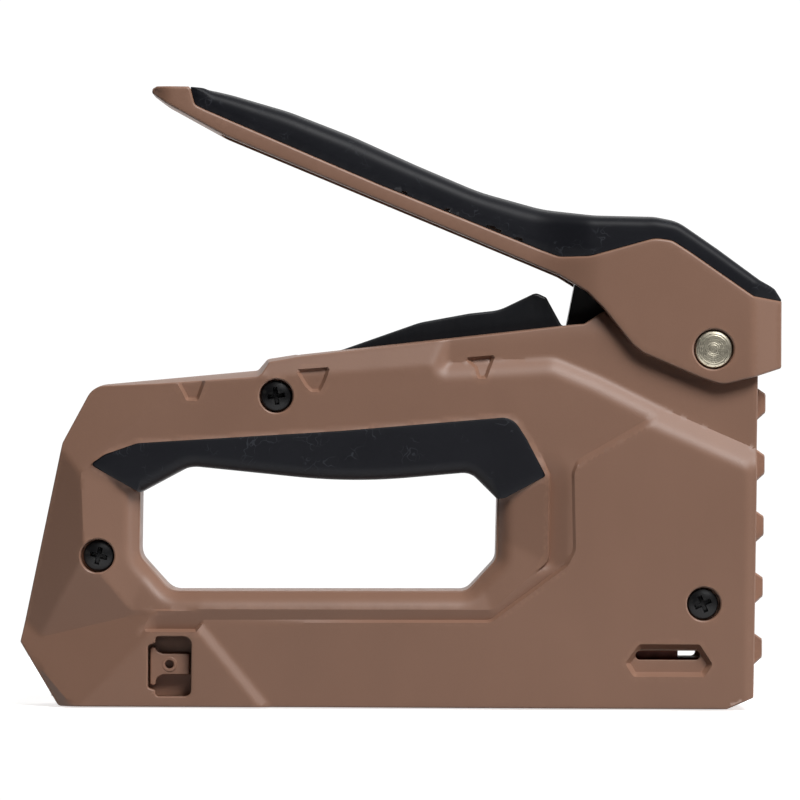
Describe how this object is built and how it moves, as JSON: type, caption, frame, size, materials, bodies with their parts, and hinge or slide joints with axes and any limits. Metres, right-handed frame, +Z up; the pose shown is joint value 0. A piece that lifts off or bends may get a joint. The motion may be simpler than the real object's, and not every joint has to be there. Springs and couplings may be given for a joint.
{
  "type": "staple gun",
  "caption": "Heavy-duty hand staple gun with a squeeze lever, a rubber-lined hand opening and a slide-out magazine.",
  "frame": {"origin": "centre of the bounding box, on the surface that the tool stands on", "axes": "+X to the nose where the staple leaves, +Z up, +Y to the tool's left side"},
  "size_m": [0.2043, 0.033, 0.1668],
  "materials": {
    "tan": "satin moulded plastic with a fine texture",
    "lever_tan": "die-cast metal, satin paint to match the shells",
    "rubber": "matt black over-moulded rubber",
    "black_steel": "gloss black paint on stamped steel",
    "black_screw": "black oxide",
    "steel": "zinc-plated steel",
    "rivet_steel": "turned steel rivet, lightly worn",
    "spring_steel": "oiled spring wire",
    "red_plastic": "red-brown moulded plastic"
  },
  "bodies": {
    "housing": {"housing_right": "tan", "housing_left": "tan", "body_grip_right": "rubber", "body_grip_left": "rubber", "screw_top": "black_screw", "screw_rear": "black_screw", "screw_front": "black_screw", "nose_plate": "steel", "plunger_bumper": "rubber", "arm_pin": "steel", "lifter_pin": "steel", "spring_seat": "steel", "main_spring": "spring_steel", "return_spring": "spring_steel", "latch_spring_right": "spring_steel", "latch_spring_left": "spring_steel"},
    "lever": {"lever": "lever_tan", "lever_grip": "rubber", "pivot_pin": "rivet_steel", "pivot_cap": "rivet_steel", "link_top_pin": "steel"},
    "link": {"link": "black_steel"},
    "arm": {"drive_arm": "black_steel", "link_foot_pin": "steel"},
    "lifter": {"lifter": "steel"},
    "driver": {"plunger": "steel", "driver_blade": "steel", "blade_rivet_lower": "steel", "blade_rivet_upper": "steel"},
    "magazine": {"magazine_tray": "steel", "staple_rail": "steel", "magazine_end_cap": "tan", "cap_pin": "steel", "pusher_rod": "steel", "pusher_spring": "spring_steel"},
    "pusher": {"pusher": "red_plastic"},
    "latch_right": {"latch_button_right": "tan"},
    "latch_left": {"latch_button_left": "tan"}
  },
  "joints": [
    {"name": "lever_hinge", "type": "hinge", "parent": "housing", "child": "lever", "pos_m": [0.0839, 0, 0.0965], "axis": [0, -1, 0], "range_deg": [0, 15], "stiffness_Nm_per_rad": 2.5, "springref_deg": -17.19},
    {"name": "link_swing", "type": "hinge", "parent": "lever", "child": "link", "pos_m": [0.053, 0, 0.1193], "axis": [0, -1, 0], "range_deg": [-1, 0.2]},
    {"name": "arm_tilt", "type": "hinge", "parent": "housing", "child": "arm", "pos_m": [-0.021, 0, 0.0885], "axis": [0, -1, 0], "range_deg": [-7.6, 0.1], "deforming": ["return_spring"]},
    {"name": "lifter_tilt", "type": "hinge", "parent": "housing", "child": "lifter", "pos_m": [0.0675, 0, 0.06], "axis": [0, -1, 0], "range_deg": [-0.2, 43.8]},
    {"name": "driver_lift", "type": "slide", "parent": "housing", "child": "driver", "axis": [0, 0, 1], "range_m": [-0.0001, 0.0118], "deforming": ["main_spring"]},
    {"name": "magazine_slide", "type": "slide", "parent": "housing", "child": "magazine", "axis": [-1, 0, 0], "range_m": [0, 0.09]},
    {"name": "pusher_slide", "type": "slide", "parent": "magazine", "child": "pusher", "axis": [-1, 0, 0], "range_m": [0, 0.07], "stiffness_N_per_m": 40, "springref_m": -0.06, "deforming": ["pusher_spring"]},
    {"name": "latch_right_press", "type": "slide", "parent": "housing", "child": "latch_right", "axis": [0, 1, 0], "range_m": [0, 0.0014], "stiffness_N_per_m": 150, "springref_m": -0.003, "deforming": ["latch_spring_right"]},
    {"name": "latch_left_press", "type": "slide", "parent": "housing", "child": "latch_left", "axis": [0, -1, 0], "range_m": [0, 0.0014], "stiffness_N_per_m": 150, "springref_m": -0.003, "deforming": ["latch_spring_left"]}
  ],
  "couplings": [
    {"joint": "link_swing", "follows": "lever_hinge", "ratio": -0.062},
    {"joint": "arm_tilt", "follows": "lever_hinge", "ratio": -0.4975},
    {"joint": "lifter_tilt", "follows": "lever_hinge", "ratio": 2.9067},
    {"joint": "driver_lift", "follows": "lever_hinge", "m_per_rad": 0.04431}
  ]
}
